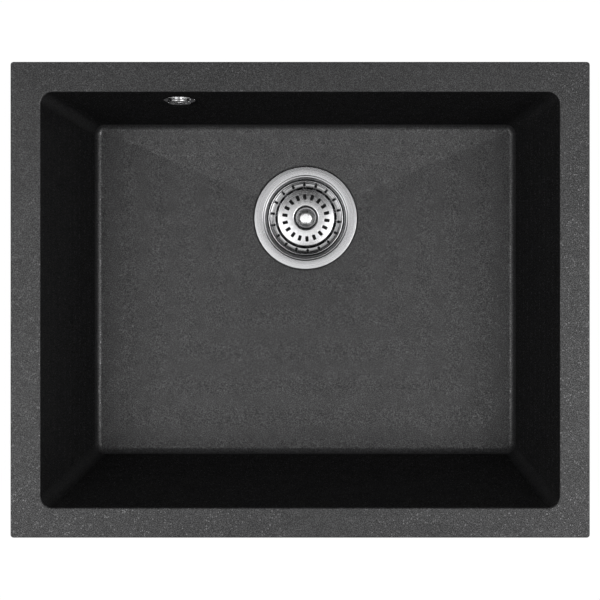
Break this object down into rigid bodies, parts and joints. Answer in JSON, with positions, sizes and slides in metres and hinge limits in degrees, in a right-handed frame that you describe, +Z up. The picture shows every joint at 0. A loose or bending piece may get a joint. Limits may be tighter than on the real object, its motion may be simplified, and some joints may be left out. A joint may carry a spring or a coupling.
{
  "type": "kitchen sink",
  "caption": "Rectangular drop-in composite kitchen sink with one bowl, a basket strainer waste, a wall overflow with its hose and swing clamps under the rim.",
  "frame": {"origin": "centre of the bowl's mouth, on the plane of the rim's underside that rests on the worktop", "axes": "+X along the sink's length to the right, +Y to the rear where the drain and the overflow are, +Z up"},
  "size_m": [0.56, 0.4615, 0.2965],
  "materials": {
    "composite": "fine speckled matt mineral composite",
    "stainless_sheet": "brushed pressed sheet",
    "stainless_turned": "turned stainless",
    "polished_basket": "polished pressed sheet",
    "polished_knob": "polished turned metal",
    "polished_cover": "polished pressed metal",
    "black_rubber": "matt black rubber",
    "grey_plastic": "moulded grey plastic",
    "white_plastic": "moulded white plastic",
    "hose_plastic": "corrugated white plastic",
    "nut_plastic": "moulded white plastic",
    "zinc_steel": "zinc plated screws",
    "insert_brass": "turned brass",
    "clamp_steel": "zinc plated stamped steel"
  },
  "bodies": {
    "sink": {"sink_bowl": "composite", "strainer_body": "stainless_sheet", "flange_gasket": "black_rubber", "waste_gasket": "black_rubber", "waste_body": "white_plastic", "waste_tail": "white_plastic", "waste_bolt": "stainless_turned", "waste_nut": "stainless_turned", "overflow_cover": "polished_cover", "overflow_screw": "stainless_turned", "overflow_gasket": "black_rubber", "overflow_elbow": "white_plastic", "overflow_hose": "hose_plastic", "hose_nut_upper": "nut_plastic", "hose_nut_lower": "nut_plastic", "hose_seal_upper": "black_rubber", "hose_seal_lower": "black_rubber", "clamp_screws": "zinc_steel", "clamp_inserts": "insert_brass"},
    "basket": {"strainer_basket": "polished_basket", "basket_knob": "polished_knob", "basket_stem": "grey_plastic", "backing_ring": "stainless_sheet", "plug_seal": "black_rubber", "stem_catch": "grey_plastic"},
    "clamp_front_left": {"clamp_front_left": "clamp_steel"},
    "clamp_front_right": {"clamp_front_right": "clamp_steel"},
    "clamp_rear_left": {"clamp_rear_left": "clamp_steel"},
    "clamp_rear_right": {"clamp_rear_right": "clamp_steel"},
    "clamp_left": {"clamp_left": "clamp_steel"},
    "clamp_right": {"clamp_right": "clamp_steel"}
  },
  "joints": [
    {"name": "basket_lift", "type": "slide", "parent": "sink", "child": "basket", "axis": [0, 0, 1], "range_m": [0, 0.26]},
    {"name": "swing_front_left", "type": "hinge", "parent": "sink", "child": "clamp_front_left", "pos_m": [-0.218, -0.21078, -0.0652], "axis": [0, 0, 1], "range_deg": [0, 100]},
    {"name": "swing_front_right", "type": "hinge", "parent": "sink", "child": "clamp_front_right", "pos_m": [0.218, -0.21078, -0.0652], "axis": [0, 0, 1], "range_deg": [0, 100]},
    {"name": "swing_rear_left", "type": "hinge", "parent": "sink", "child": "clamp_rear_left", "pos_m": [-0.218, 0.21078, -0.0652], "axis": [0, 0, 1], "range_deg": [0, 100]},
    {"name": "swing_rear_right", "type": "hinge", "parent": "sink", "child": "clamp_rear_right", "pos_m": [0.218, 0.21078, -0.0652], "axis": [0, 0, 1], "range_deg": [0, 100]},
    {"name": "swing_left", "type": "hinge", "parent": "sink", "child": "clamp_left", "pos_m": [-0.26078, 0, -0.0652], "axis": [0, 0, 1], "range_deg": [0, 100]},
    {"name": "swing_right", "type": "hinge", "parent": "sink", "child": "clamp_right", "pos_m": [0.26078, 0, -0.0652], "axis": [0, 0, 1], "range_deg": [0, 100]}
  ]
}
